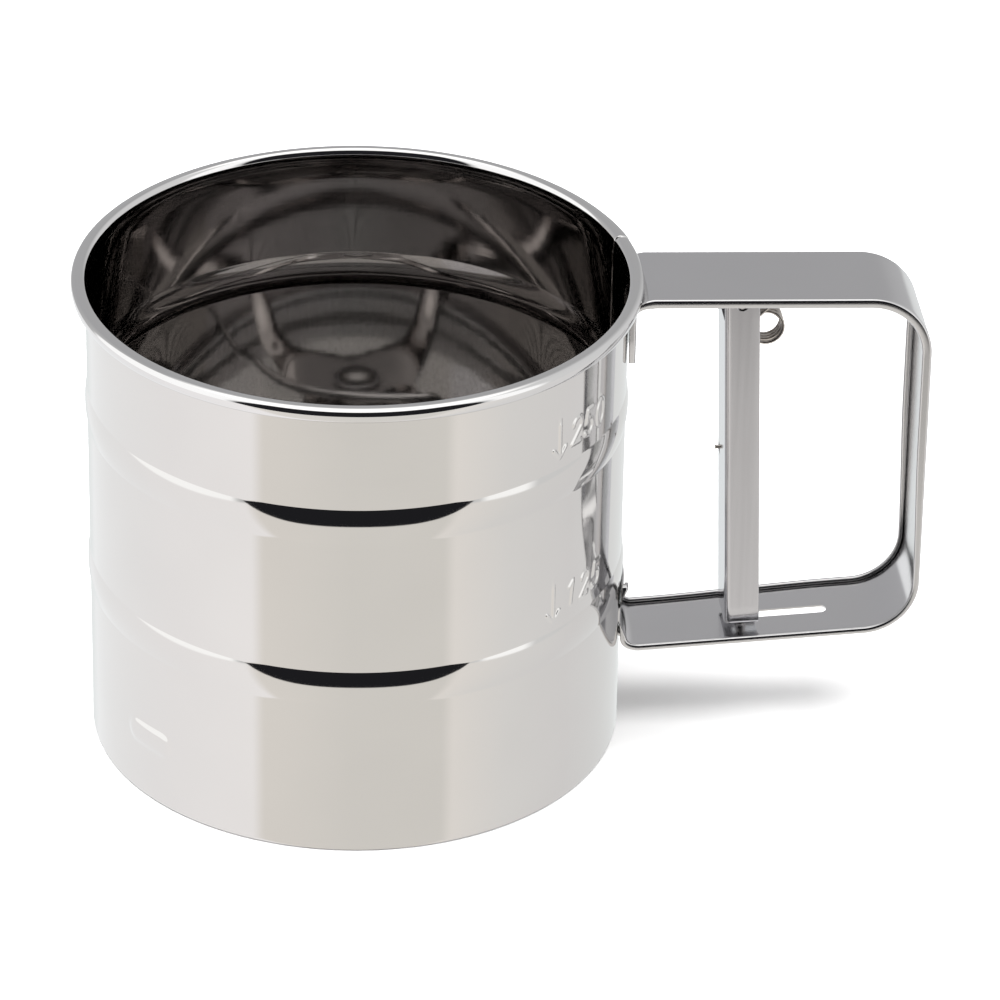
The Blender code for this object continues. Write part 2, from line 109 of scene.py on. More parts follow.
# Trigger lever
LEVER_TILT = math.radians(2.0)
LEVER_HALF_DEPTH = 3.25
LEVER_HALF_WIDTH = 6.0
LEVER_SHEET = 0.6
LEVER_TOP = 4.0
LEVER_LENGTH = 68.7
EAR_R = 2.0
EAR_FOOT = 0.8
PIN_R = 0.9
PIN_BORE_R = 1.15
FOOT_BEND = 1.0

# Return spring
COIL_X = 75.9
COIL_Z = 81.1
COIL_R = 3.1
COIL_HALF = 1.95
COIL_TURNS = 4.125
COIL_START = math.radians(135.0)
COIL_LEG = 8.2
COIL_GAP = 0.45
SPRING_WIRE_R = 0.38
HOOK_Y = 3.2
HOOK_Z = 53.0

# Push rod
ROD_R = 1.0
ROD_X = 73.5
ROD_Z = 15.0
ROD_TOP = 24.2
ROD_INNER_Z = 19.2
CRANK_X = -7.542
CRANK_Y = 14.5
ROD_BEND = 2.2
CLIP_R = 2.2
CLIP_Z = (23.0, 23.6)

# Agitator and sieve
ARM_AZIMUTHS = (-25.0, 95.0, -145.0)
HUB_R = 11.0
HUB_Z = 16.0
BORE_R = 1.8
ARM_END_R = 46.0
ARM_DIP = 1.4
ARM_RISE = 3.6
ARM_ARCH = 1.5
BLADE_SHEET = 0.6
LUG_HALF = 3.6
LUG_END_R = 20.6
CRANK_PLAY = 0.4
LUG_AZIMUTH = math.degrees(math.atan2(CRANK_Y, CRANK_X))
MESH_Z = 12.2
MESH_R = 48.7
MESH_PITCH = 1.22
MESH_WIRE_R = 0.15
RIVET_R = 1.5
RIVET_HEAD_R = 3.3
RIVET_TAIL_R = 2.8


# ---------------------------------------------------------------- materials


def new_material(name, colour, roughness):
    material = bpy.data.materials.new(name)
    material.use_nodes = True
    shader = material.node_tree.nodes["Principled BSDF"]
    shader.inputs["Base Color"].default_value = (*colour, 1.0)
    shader.inputs["Metallic"].default_value = 1.0
    shader.inputs["Roughness"].default_value = roughness
    return material, material.node_tree, shader


def noise(tree, scale, stretch, detail=3.0):
    """Noise over the object's own coordinates, stretched by a factor on each axis."""
    nodes, links = tree.nodes, tree.links
    coords = nodes.new("ShaderNodeTexCoord")
    mapping = nodes.new("ShaderNodeMapping")
    mapping.inputs["Scale"].default_value = stretch
    texture = nodes.new("ShaderNodeTexNoise")
    texture.inputs["Scale"].default_value = scale
    texture.inputs["Detail"].default_value = detail
    links.new(coords.outputs["Object"], mapping.inputs["Vector"])
    links.new(mapping.outputs["Vector"], texture.inputs["Vector"])
    return texture.outputs["Fac"]


def ranged(tree, value, low, high):
    """A value from 0 to 1 spread over low to high."""
    node = tree.nodes.new("ShaderNodeMapRange")
    node.inputs["To Min"].default_value = low
    node.inputs["To Max"].default_value = high
    tree.links.new(value, node.inputs["Value"])
    return node.outputs["Result"]


def tinted(tree, value, dark, light):
    node = tree.nodes.new("ShaderNodeMix")
    node.data_type = "RGBA"
    node.inputs["A"].default_value = (*dark, 1.0)
    node.inputs["B"].default_value = (*light, 1.0)
    tree.links.new(value, node.inputs["Factor"])
    return node.outputs["Result"]


def bumped(tree, shader, heights, strength, distance):
    """Stacks bump nodes for the given heights and wires them into the shader."""
    previous = None
    for height in heights:
        node = tree.nodes.new("ShaderNodeBump")
        node.inputs["Strength"].default_value = strength
        node.inputs["Distance"].default_value = distance
        tree.links.new(height, node.inputs["Height"])
        if previous:
            tree.links.new(previous, node.inputs["Normal"])
        previous = node.outputs["Normal"]
    tree.links.new(previous, shader.inputs["Normal"])


def steel(name, colour, roughness, line_stretch, line_scale=1.0, bump=0.05, spread=0.04):
    """Polished stainless: fine lines along the rolling direction and faint cloudiness."""
    material, tree, shader = new_material(name, colour, roughness)
    lines = noise(tree, 900.0 * line_scale, line_stretch, 4.0)
    clouds = noise(tree, 38.0, (1.0, 1.0, 1.0), 2.0)
    dark = tuple(c * 0.95 for c in colour)
    light = tuple(min(c * 1.03, 1.0) for c in colour)
    tree.links.new(tinted(tree, clouds, dark, light), shader.inputs["Base Color"])
    tree.links.new(ranged(tree, lines, roughness - spread, roughness + spread), shader.inputs["Roughness"])
    bumped(tree, shader, [lines], bump, 0.0001)
    return material


CUP_STEEL = steel("cup_steel", (0.71, 0.70, 0.685), 0.055, (0.05, 0.05, 1.0), bump=0.02, spread=0.02)
ROLL_STEEL = steel("roll_steel", (0.74, 0.735, 0.73), 0.06, (0.05, 0.05, 1.0), bump=0.02, spread=0.02)
# Painted shade: the inner wall is the cup's own steel made darker to stand in for the shade inside the cup.
INNER_STEEL_PAINTED_SHADE = steel("inner_steel_painted_shade", (0.40, 0.38, 0.37), 0.06, (0.05, 0.05, 1.0), bump=0.03, spread=0.02)
STRAP_STEEL = steel("strap_steel", (0.68, 0.675, 0.68), 0.16, (0.04, 1.0, 0.04), bump=0.05, spread=0.03)
LEVER_STEEL = steel("lever_steel", (0.668, 0.666, 0.69), 0.16, (1.0, 1.0, 0.03), bump=0.05)
WIRE_STEEL = steel("wire_steel", (0.60, 0.59, 0.58), 0.2, (0.3, 1.0, 1.0), bump=0.04)
SPRING_STEEL = steel("spring_steel", (0.62, 0.58, 0.54), 0.12, (1.0, 1.0, 1.0), bump=0.03)
BLADE_STEEL = steel("blade_steel", (0.82, 0.80, 0.78), 0.07, (0.1, 1.0, 0.5), bump=0.05)
# Painted shade: the wire cloth is made dark to stand in for the shade among its wires at the bottom of the
# cup.
MESH_STEEL_PAINTED_SHADE = steel("mesh_steel", (0.14, 0.135, 0.13), 0.28, (1.0, 1.0, 1.0), bump=0.03)
RING_STEEL = steel("ring_steel", (0.64, 0.63, 0.63), 0.24, (0.3, 0.3, 1.0), bump=0.05)
# Painted shade: the rivet is made dark to stand in for the shade at the bottom of the cup, which keeps its
# highlight dim.
RIVET_STEEL_PAINTED_SHADE = steel("rivet_steel", (0.34, 0.33, 0.32), 0.3, (1.0, 1.0, 1.0), bump=0.05)


# ---------------------------------------------------------------- helpers


def place(point):
    return Vector((point[0] * MM + AXIS_X, point[1] * MM, point[2] * MM))


def add_object(name, data, material, body, nodes=()):
    """Adds a piece that rides on a body and stands for some CAD nodes."""
    obj = bpy.data.objects.new(name, data)
    bpy.context.scene.collection.objects.link(obj)
    data.materials.append(material)
    if body:
        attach(obj, body)
    if nodes:
        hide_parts(*nodes)
    return obj


def to_mesh(name, points, faces, smooth=True):
    """A mesh from an array of cup-frame points in millimetres."""
    points = np.asarray(points, float) * MM
    points[:, 0] += AXIS_X
    mesh = bpy.data.meshes.new(name)
    mesh.from_pydata(points.tolist(), [], [tuple(map(int, face)) for face in faces])
    if smooth:
        mesh.shade_smooth()
    return mesh


def grid_faces(rows, columns, close_rows=False, close_columns=False):
    """Quads of a grid of points stored row by row."""
    last_row = rows if close_rows else rows - 1
    last_column = columns if close_columns else columns - 1
    i, j = np.meshgrid(np.arange(last_row), np.arange(last_column), indexing="ij")
    down, across = (i + 1) % rows, (j + 1) % columns
    corners = [i * columns + j, i * columns + across, down * columns + across, down * columns + j]
    return np.stack(corners, axis=-1).reshape(-1, 4)


def arc(centre_x, centre_y, radius, start, end, steps):
    """(x, y, angle) along an arc, the start and end in degrees and the angle in radians."""
    angles = np.radians(np.linspace(start, end, steps + 1))
    return [(centre_x + radius * math.cos(a), centre_y + radius * math.sin(a), a) for a in angles]


def arc_points(*args):
    return [(x, y) for x, y, _ in arc(*args)]


def blend(low, high, value):
    t = np.clip((np.asarray(value, float) - low) / (high - low), 0.0, 1.0)
    return t * t * (3 - 2 * t)


def turned(profile, columns):
    """Points and faces of a closed profile of (radius, height) points turned about the cup's axis."""
    angles = np.linspace(0, math.tau, columns, endpoint=False)
    r, z = np.array(profile).T
    points = [np.outer(np.cos(angles), r), np.outer(np.sin(angles), r), np.tile(z, (columns, 1))]
    points = np.stack(points, axis=-1).reshape(-1, 3)
    return points, grid_faces(columns, len(profile), close_rows=True, close_columns=True)


def rounded_section(inner_r, outer_r, low, high, edge=0.15):
    """A washer's section with rounded edges."""
    corners = ((outer_r, low, -90), (outer_r, high, 0), (inner_r, high, 90), (inner_r, low, 180))
    points = []
    for r, z, start in corners:
        r += edge if r == inner_r else -edge
        z += edge if z == low else -edge
        points += arc_points(r, z, edge, start, start + 90, 3)
    return points


def lofted(loops):
    """Points and faces of a closed solid through loops of equal length, with flat ends."""
    loops = np.array(loops, float)
    rows, columns = loops.shape[:2]
    faces = [tuple(face) for face in grid_faces(rows, columns, close_columns=True)]
    faces.append(tuple(reversed(range(columns))))
    faces.append(tuple((rows - 1) * columns + j for j in range(columns)))
    return loops.reshape(-1, 3), faces


def prism(outline, along):
    """A solid from a flat outline of points, moved by a vector."""
    outline = np.array(outline, float)
    return lofted([outline, outline + along])


def tube(path, radius, sides, caps=True):
    """A round wire along a path of points."""
    path = np.asarray(path, float)
    along = np.gradient(path, axis=0)
    along /= np.linalg.norm(along, axis=1)[:, None]
    side = np.cross(along[0], (0.31, 0.59, 0.75))
    turns = np.linspace(0, math.tau, sides, endpoint=False)
    loops = []
    for point, forward in zip(path, along):
        side = side - forward * (side @ forward)
        side /= np.linalg.norm(side)
        other = np.cross(forward, side)
        loops.append(point + radius * (np.outer(np.cos(turns), side) + np.outer(np.sin(turns), other)))
    if caps:
        return lofted(loops)
    return np.concatenate(loops), grid_faces(len(path), sides, close_columns=True)


def rounded(corners, radius, steps):
    """A polyline with each inner corner replaced by a short curve."""
    corners = [np.array(c, float) for c in corners]
    path = [tuple(corners[0])]
    for before, corner, after in zip(corners, corners[1:], corners[2:]):
        back, on = before - corner, after - corner
        start = corner + back / np.linalg.norm(back) * radius
        end = corner + on / np.linalg.norm(on) * radius
        for t in np.linspace(0, 1, steps + 1):
            path.append(tuple((1 - t) ** 2 * start + 2 * t * (1 - t) * corner + t * t * end))
    return path + [tuple(corners[-1])]


def outward(mesh):
    """Turns every face of a closed mesh outwards."""
    build = bmesh.new()
    build.from_mesh(mesh)
    bmesh.ops.recalc_face_normals(build, faces=build.faces)
    build.to_mesh(mesh)
    build.free()


def cut(obj, shape):
    """Cuts a closed shape out of an object, and keeps only the result."""
    mesh = to_mesh("cutter", *shape, smooth=False)
    outward(mesh)
    outward(obj.data)
    cutter = bpy.data.objects.new("cutter", mesh)
    bpy.context.scene.collection.objects.link(cutter)
    modifier = obj.modifiers.new("cut", "BOOLEAN")
    modifier.operation = "DIFFERENCE"
    modifier.object = cutter
    graph = bpy.context.evaluated_depsgraph_get()
    result = bpy.data.meshes.new_from_object(obj.evaluated_get(graph))
    obj.modifiers.clear()
    obj.data = result
    bpy.data.objects.remove(cutter)
    result.shade_smooth()
    result.set_sharp_from_angle(angle=math.radians(35))


def restyle(node, material):
    """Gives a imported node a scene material."""
    node.data.materials.clear()
    node.data.materials.append(material)


# ---------------------------------------------------------------- marks pressed into the wall


def digit_strokes():
    """Polylines of the digits in a box of width 1 and height 1."""
    zero = [(0.5 + 0.5 * math.sin(t), 0.5 + 0.5 * math.cos(t)) for t in np.linspace(0, math.tau, 25)]
    two = [(0.5 - 0.5 * math.cos(t), 0.7 + 0.3 * math.sin(t)) for t in np.linspace(0.1, 3.5, 12)]
    five = [(0.46 - 0.54 * math.cos(t), 0.32 + 0.32 * math.sin(t)) for t in np.linspace(1.1, 5.6, 14)]
    return {
        "0": [zero],
        "1": [[(0.2, 0.78), (0.6, 1.0), (0.6, 0.0)]],
        "2": [two + [(0.0, 0.0), (1.0, 0.0)]],
        "5": [[(0.95, 1.0), (0.2, 1.0), (0.12, 0.5)] + five],
    }


DIGITS = digit_strokes()
DIGIT_WIDTH = 2.5
DIGIT_SLANT = math.tan(math.radians(7.0))
DEGREE = math.radians(1.0) * BODY_R
# Text, azimuth of each digit's middle, foot and height of the digits
MARKS = (
    ("250", (-41.3, -36.7, -31.9), 75.5, 5.0),
    ("125", (-42.0, -36.9, -32.1), 41.6, 4.9),
)
# Azimuth, tip and length of the arrow beside each mark
ARROWS = ((-46.9, 74.3, 6.7), (-47.8, 40.05, 7.0))
BARB = (1.6, 1.9)


def mark_segments():
    """Every straight piece of the marks as (s0, z0, s1, z1), with s the distance round the wall."""
    found = []

    def add(path):
        found.extend((*a, *b) for a, b in zip(path, path[1:]))

    for text, middles, base, height in MARKS:
        lean = height * DIGIT_SLANT
        for character, middle in zip(text, middles):
            left = middle * DEGREE - DIGIT_WIDTH / 2 - lean / 2
            for stroke in DIGITS[character]:
                add([(left + x * DIGIT_WIDTH + y * lean, base + y * height) for x, y in stroke])
    out, up = BARB
    for azimuth, tip, length in ARROWS:
        s = azimuth * DEGREE
        add([(s, tip + length), (s, tip)])
        add([(s - out, tip + up), (s, tip), (s + out, tip + up)])
    return np.array(found)


def mark_rise(azimuth, z):
    """Height of the pressed marks at places on the wall, from the distance to the nearest stroke."""
    s = azimuth * DEGREE
    nearest = np.full(s.shape, 99.0)
    for s0, z0, s1, z1 in mark_segments():
        along = np.array([s1 - s0, z1 - z0])
        length = max(along @ along, 1e-9)
        t = np.clip(((s - s0) * along[0] + (z - z0) * along[1]) / length, 0, 1)
        nearest = np.minimum(nearest, np.hypot(s - s0 - t * along[0], z - z0 - t * along[1]))
    return 0.26 * (1 - blend(0.06, 0.6, nearest))


# ---------------------------------------------------------------- cup


def bead_rise(z):
    """Each bead is a low arc that meets the wall at a crease."""
    radius = (BEAD_HALF**2 + BEAD_RISE**2) / (2 * BEAD_RISE)
    rise = np.zeros_like(z)
    for centre in BEAD_Z:
        away = np.clip(np.abs(z - centre), 0, BEAD_HALF)
        rise += np.sqrt(radius**2 - away**2) - (radius - BEAD_RISE)
    return rise


def pocket_rise(azimuth, z):
    """The two soft oblong pockets near the foot."""
    away = (azimuth - POCKET_AZIMUTH + 90) % 180 - 90
    s = away * DEGREE
    reach = 3.6
    distance = np.hypot(np.maximum(np.abs(s) - reach, 0), z - POCKET_Z)
    return POCKET_DEPTH * (1 - blend(1.3, 3.1, distance))


def wall_heights():
    """Row heights of the outer wall, closer together where there is relief."""
    relief = [(8.4, 18.0, 0.5), (39.5, 47.2, 0.18), (73.6, 81.2, 0.18)]
    for middle in BEAD_Z:
        low, high = middle - BEAD_HALF, middle + BEAD_HALF
        relief += [(low - 0.06, low, 0.06), (low, high, 0.35), (high, high + 0.06, 0.06)]
    heights = [0.0, 0.3, 0.6]
    z = 1.0
    for low, high, step in sorted(relief):
        if low - z > 0.01:
            heights += list(np.linspace(z, low, max(round((low - z) / 1.6), 1), endpoint=False))
        heights += list(np.linspace(low, high, round((high - low) / step), endpoint=False))
        z = high
    return np.array(heights + list(np.linspace(z, 92.0, 8)))


def wall_azimuths():
    """Column azimuths from -180 to 180 degrees, closer together at the marks and the pockets."""
    far, near = POCKET_AZIMUTH, POCKET_AZIMUTH - 180
    stops = [(near - 10, near + 10, 0.6), (-50.5, -28.5, 0.22), (far - 10, far + 10, 0.8)]
    columns = []
    azimuth = -180.0
    for low, high, step in stops:
        columns += list(np.linspace(azimuth, low, round((low - azimuth) / 1.25), endpoint=False))
        columns += list(np.linspace(low, high, round((high - low) / step), endpoint=False))
        azimuth = high
    return np.array(columns + list(np.linspace(azimuth, 180.0, 107, endpoint=False)))


def roll_points(half, start, end, steps):
    """Part of the rim roll's section: a squared circle, turned so that its outer side looks down a little."""
    cos, sin = math.cos(ROLL_TURN), math.sin(ROLL_TURN)
    found = []
    for t in np.radians(np.linspace(start, end, steps + 1)):
        x = half * math.copysign(abs(math.cos(t)) ** 0.77, math.cos(t))
        y = half * math.copysign(abs(math.sin(t)) ** 0.77, math.sin(t))
        found.append((ROLL_CENTRE_R + x * cos - y * sin, ROLL_Z + x * sin + y * cos))
    return found


def seam_azimuths():
    """Columns of the inner wall and the roll, with close ones at the seam."""
    coarse = [a for a in np.arange(-180.0, 180.0, 1.25) if abs(a - SEAM_AZIMUTH) > 1.2]
    close = [SEAM_AZIMUTH + away for away in (-0.8, -0.35, -0.2, -0.08, 0.0, 0.08, 0.2, 0.35, 0.8)]
    return np.array(sorted(coarse + close))


def build_cup():
    heights, azimuths = wall_heights(), wall_azimuths()
    a, z = np.meshgrid(azimuths, heights)
    r = BODY_R + bead_rise(z) + pocket_rise(a, z) + mark_rise(a, z) - 0.12 * (1 - blend(0.0, 0.3, z))
    turn = np.radians(a)
    points = np.stack([r * np.cos(turn), r * np.sin(turn), z], axis=-1).reshape(-1, 3)
    faces = grid_faces(len(heights), len(azimuths), close_columns=True)
    wall = to_mesh("cup_outer", points, faces)
    add_object("cup_outer", wall, CUP_STEEL, "sifter", ["cup_wall"])

    lip = roll_points(ROLL_HALF - ROLL_SHEET, 160, -115, 20)
    roll = roll_points(ROLL_HALF, -115, 180, 44)
    down = [90.8, 88.0, 82.0, 76.0]
    for middle, below in zip(reversed(BEAD_Z), (BEAD_Z[0] + BEAD_HALF, 5.2)):
        high, low = middle + BEAD_HALF, middle - BEAD_HALF
        down += [high + 0.06] + list(np.linspace(high, low, 20)) + [low - 0.06]
        down += list(np.linspace(low - 2.0, below + 2.0, 8))
    down = np.array(down)
    inside = [(INNER_R + rise, height) for rise, height in zip(bead_rise(down), down)]
    hem = [(INNER_R - 0.25, 4.5), (48.95, 4.2), (48.9, 3.6), (48.9, 0.25), (49.05, 0.0), (49.7, 0.0)]
    profile = np.array(lip + roll + inside + hem + [(49.88, 0.0)])
    azimuths = seam_azimuths()
    beyond = azimuths - SEAM_AZIMUTH
    lap = np.where(beyond >= 0, 1 - blend(0.0, 14.0, beyond), 0.0)
    groove = 1 - blend(0.05, 0.21, np.abs(beyond))
    on_roll = np.arange(len(profile)) < len(lip) + len(roll)
    centre = np.array([ROLL_CENTRE_R, ROLL_Z])
    away = np.where(on_roll[:, None], profile - centre, 0.0)
    on_wall = ~on_roll * blend(16.0, 22.0, profile[:, 1])
    turn = np.radians(azimuths)[:, None]
    swell = (0.07 * lap - 0.4 * groove)[:, None]
    r = profile[None, :, 0] + swell * away[None, :, 0] - 0.1 * lap[:, None] * on_wall[None, :]
    z = profile[None, :, 1] + swell * away[None, :, 1]
    points = np.stack([r * np.cos(turn), r * np.sin(turn), z], axis=-1).reshape(-1, 3)
    faces = grid_faces(len(azimuths), len(profile), close_rows=True)
    inner = to_mesh("cup_inner", points, faces)
    # The inner wall takes the steel darkened as painted shade; the roll keeps the plain roll steel.
    add_object("cup_inner", inner, INNER_STEEL_PAINTED_SHADE, "sifter", ())
    inner.materials.append(ROLL_STEEL)
    for face in inner.polygons:
        face.material_index = int(on_roll[face.vertices[0] % len(profile)])


# ---------------------------------------------------------------- handle strap


def strap_stations():
    """(x, z, angle, wrap, width) of the strap's outer face, from the upper tab to the lower one."""
    up, down = 90 - TOP_TILT, LOW_TILT - 90
    corner = 0.8
    end = []
    for away in corner * (1 - np.cos(np.linspace(0, math.pi / 2, 5))):
        reach = STRAP_HALF - corner + math.sqrt(corner**2 - (corner - away) ** 2)
        end.append((away, reach / STRAP_HALF))
    found = [(TAB_X, UPPER_TAB_END + away, math.pi, 1.0, width) for away, width in end]
    for x, z, a in arc(*UPPER_BEND, 180, up, 14):
        found.append((x, z, a, float(blend(53.5, TAB_X, x)), 1.0))
    found += [(x, z, a, 0.0, 1.0) for x, z, a in arc(*TOP_CORNER, up, 0, 26)]
    found += [(x, z, a, 0.0, 1.0) for x, z, a in arc(*LOW_CORNER, 0, down, 26)]
    for x, z, a in arc(*LOWER_BEND, down, -180, 16):
        found.append((x, z, a, float(blend(54.5, TAB_X, x)), 1.0))
    found += [(TAB_X, LOWER_TAB_END - away, math.pi, 1.0, width) for away, width in reversed(end)]
    return densified(found, 4.0)


def densified(stations, longest):
    """The stations with more between them wherever two are further apart than longest."""
    found = [stations[0]]
    for before, after in zip(stations, stations[1:]):
        gap = math.hypot(after[0] - before[0], after[1] - before[1])
        steps = max(round(gap / longest), 1)
        for i in range(1, steps + 1):
            share = i / steps
            found.append(tuple(b + (a - b) * share for b, a in zip(before, after)))
    return found


def strap_section():
    """The strap's closed section as (y, depth from the outer face), with a flat hem along both edges."""
    edge, sheet, bend, fold = STRAP_HALF, 0.5, 0.5, 0.54
    turn = CURL - fold
    half = [(y, 0.0) for y in (0.0, 3.0, 6.0, 8.2)]
    half += arc_points(edge - bend, bend, bend, -90, 0, 6)
    half += arc_points(edge - fold, turn, fold, 0, 180, 10)
    half += arc_points(edge - 2 * fold + 0.25, 1.0, 0.25, 180, 360, 6)
    half += arc_points(edge - fold, turn, fold - sheet, 180, 0, 4)
    half += arc_points(edge - 0.62, 0.62, 0.12, 0, -90, 4)
    half += [(y, sheet) for y in (8.2, 6.0, 3.0, 0.0)]
    return half + [(-y, depth) for y, depth in reversed(half[1:-1])]


def build_strap():
    section = strap_section()
    y0, depth0 = np.array(section).T
    loops = []
    for x, z, angle, wrap, width in strap_stations():
        y = y0 * width
        depth = depth0 * (1.0 - 0.3 * max(wrap, float(blend(60.0, 30.0, z))))
        bent = wrap * (TAB_X - np.sqrt(TAB_X**2 - y**2))
        twist = -1.2 * np.maximum(y, 0) / STRAP_HALF * float(blend(92.0, 54.0, x)) * (z < 30.0) * (1.0 - wrap)
        xs = x - depth * math.cos(angle) - bent
        loops.append(np.stack([xs, y, z - depth * math.sin(angle) + twist], axis=-1))
    points, faces = lofted(loops)
    strap = add_object(
        "strap", to_mesh("strap", points, faces), STRAP_STEEL, "sifter", ["handle_strap"]
    )
    reach = (SLOT_X[1] - SLOT_X[0]) / 2 - SLOT_HALF
    middle = sum(SLOT_X) / 2
    outline = arc_points(middle + reach, 0.0, SLOT_HALF, -90, 90, 12)
    outline += arc_points(middle - reach, 0.0, SLOT_HALF, 90, 270, 12)
    cut(strap, prism([(x, y, SLOT_Z - 3.5) for x, y in outline], (0, 0, 7)))


# ---------------------------------------------------------------- bracket and pin


def build_bracket():
    bracket = frame["nodes"]["hinge_bracket"]
    restyle(bracket, STRAP_STEEL)
    restyle(frame["nodes"]["rim_wire"], WIRE_STEEL)
    half = LEVER_HALF_WIDTH + 0.1
    profile = [(0.0, -half), (0.5, -half), (PIN_R - 0.08, -half + 0.15), (PIN_R, -half + 0.4)]
    profile += [(r, -y) for r, y in reversed(profile)]
    turns = np.linspace(0, math.tau, 24, endpoint=False)
    loops = [[(PIVOT_X + r * math.cos(t), y, PIVOT_Z + r * math.sin(t)) for t in turns] for r, y in profile]
    points, faces = lofted(loops)
    pin = to_mesh("pin", points, faces)
    add_object("pin", pin, WIRE_STEEL, "sifter", ["pivot_pin"])


# ---------------------------------------------------------------- trigger lever


def on_lever(u, y, w):
    """A point of the lever's own frame (w runs down it from the pivot) in the cup's frame."""
    cos, sin = math.cos(LEVER_TILT), math.sin(LEVER_TILT)
    return (PIVOT_X + u * cos + w * sin, y, PIVOT_Z + u * sin - w * cos)


def lever_prism(outline, low_y, high_y):
    """A block across the lever from an outline of (u, w) points."""
    return prism([on_lever(u, low_y, w) for u, w in outline], (0, high_y - low_y, 0))


def channel_section():
    """The channel's closed section as (u, y): a web towards the cup, with rounded corners."""
    deep, wide, sheet = LEVER_HALF_DEPTH, LEVER_HALF_WIDTH, LEVER_SHEET
    half = [(-deep, 0.0), (-deep, 2.5)] + arc_points(1.3 - deep, wide - 1.3, 1.3, 180, 90, 8)
    half += [(0.0, wide)] + arc_points(deep - 0.12, wide - 0.12, 0.12, 90, 0, 3)
    half += arc_points(deep - 0.12, wide - sheet + 0.12, 0.12, 0, -90, 3)
    half += [(0.0, wide - sheet)] + arc_points(1.3 - deep, wide - 1.3, 1.3 - sheet, 90, 180, 8)
    half += [(sheet - deep, 2.5), (sheet - deep, 0.0)]
    return half + [(u, -y) for u, y in reversed(half[1:-1])]


def build_lever():
    section = channel_section()
    straight = LEVER_LENGTH - FOOT_BEND
    levels = [-LEVER_TOP] + list(np.linspace(1.0 - LEVER_TOP, straight, 24))
    levels += list(straight + np.sin(np.radians((20, 38, 54, 68, 80, 90))))
    loops = []
    for w in levels:
        curl = 0.8 * (1.0 - math.sqrt(1.0 - min(max(w - straight, 0.0), 1.0) ** 2))
        loops.append([on_lever(u, y * (1 - curl / LEVER_HALF_WIDTH), w) for u, y in section])
    points, faces = lofted(loops)
    mesh = to_mesh("lever", points, faces)
    lever = add_object("lever", mesh, LEVER_STEEL, "trigger", ["trigger_lever"])
    ear = [(-3.6, EAR_FOOT)] + [(x, -z) for x, z in arc_points(0, 0, EAR_R, 180, 0, 20)] + [(3.6, EAR_FOOT)]
    top = ear + [(6.0, EAR_FOOT), (6.0, -6.0), (-6.0, -6.0), (-6.0, EAR_FOOT)]
    cut(lever, lever_prism(top, -9.0, 9.0))
    web = [(-5.0, 3.4), (-1.5, 3.4), (-1.5, -5.0), (-5.0, -5.0)]
    cut(lever, lever_prism(web, -5.0, 5.0))
    cut(lever, lever_prism(arc_points(0, 0, PIN_BORE_R, 0, 360, 24)[:-1], -9.0, 9.0))
    down = PIVOT_Z - HOOK_Z
    slot = [(-5.0, down - 1.0), (-1.0, down - 1.0), (-1.0, down + 1.0), (-5.0, down + 1.0)]
    cut(lever, lever_prism(slot, HOOK_Y - 0.8, HOOK_Y + 0.8))
    floor = [(0.3 - LEVER_HALF_DEPTH, 68.0), (LEVER_HALF_DEPTH - 0.2, 68.0)]
    floor += [(LEVER_HALF_DEPTH - 0.2, 68.6), (0.3 - LEVER_HALF_DEPTH, 68.6)]
    points, faces = lever_prism(floor, 0.8 - LEVER_HALF_WIDTH, LEVER_HALF_WIDTH - 0.8)
    foot = add_object("lever_floor", to_mesh("lever_floor", points, faces), LEVER_STEEL, "trigger")
    u = ROD_X - PIVOT_X - LEVER_LENGTH * math.sin(LEVER_TILT)
    ring = [on_lever(u + x, y, 66.0) for x, y in arc_points(0, 0, 1.4, 0, 360, 24)[:-1]]
    cut(foot, prism(ring, (0.1, 0, -4.0)))


# ---------------------------------------------------------------- return spring


def build_spring():
    """A torsion spring: one leg under the strap, one down the lever and hooked through its web."""
    steps = round(28 * COIL_TURNS)
    share = np.linspace(0, 1, steps + 1)
    angle = COIL_START + math.tau * COIL_TURNS * share
    along = COIL_HALF * (2 * share - 1) - COIL_GAP * (1 - blend(0.1, 0.3, share))
    coil = np.stack([COIL_X + COIL_R * np.cos(angle), along, COIL_Z + COIL_R * np.sin(angle)], axis=-1)
    rise = np.array([1.0, 0.0, 1.0]) / math.sqrt(2)
    top = coil[0] + rise * COIL_LEG
    upper = rounded([top + (5.0, 0.0, 0.05), top + (0.2, 0.0, 0.05), coil[0] + rise * 0.4], 1.2, 6)
    web = PIVOT_X - LEVER_HALF_DEPTH * math.cos(LEVER_TILT) + (PIVOT_Z - HOOK_Z) * math.sin(LEVER_TILT)
    start = (COIL_X - COIL_R + 0.02, COIL_HALF, COIL_Z - 0.8)
    lower = rounded([start, (web + 1.25, HOOK_Y, HOOK_Z), (web - 0.8, HOOK_Y, HOOK_Z)], 1.6, 8)
    points, faces = tube(upper + [tuple(p) for p in coil] + lower, SPRING_WIRE_R, 12)
    spring = to_mesh("spring", points, faces)
    spring = add_object("spring", spring, SPRING_STEEL, None, ())
    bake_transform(spring)
    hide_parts("return_spring")


# ---------------------------------------------------------------- push rod and clip


def build_rod():
    corners = [(ROD_X, 0.0, ROD_TOP), (ROD_X, 0.0, ROD_Z), (33.5, 0.0, ROD_Z), (22.0, 3.9, ROD_INNER_Z)]
    corners += [(CRANK_X, CRANK_Y, ROD_INNER_Z), (CRANK_X, CRANK_Y, ROD_Z)]
    points, faces = tube(rounded(corners, ROD_BEND, 10), ROD_R, 20)
    rod = to_mesh("rod", points, faces)
    add_object("rod", rod, WIRE_STEEL, "rod", ["push_rod"])
    points, faces = turned(rounded_section(ROD_R + 0.05, CLIP_R, *CLIP_Z), 40)
    clip = to_mesh("clip", points + (ROD_X, 0.0, 0.0), faces)
    add_object("clip", clip, SPRING_STEEL, "rod", ["rod_clip"])


# ---------------------------------------------------------------- agitator


def arm_half(r):
    return 8.5 - 4.2 * blend(8.0, 26.0, r)


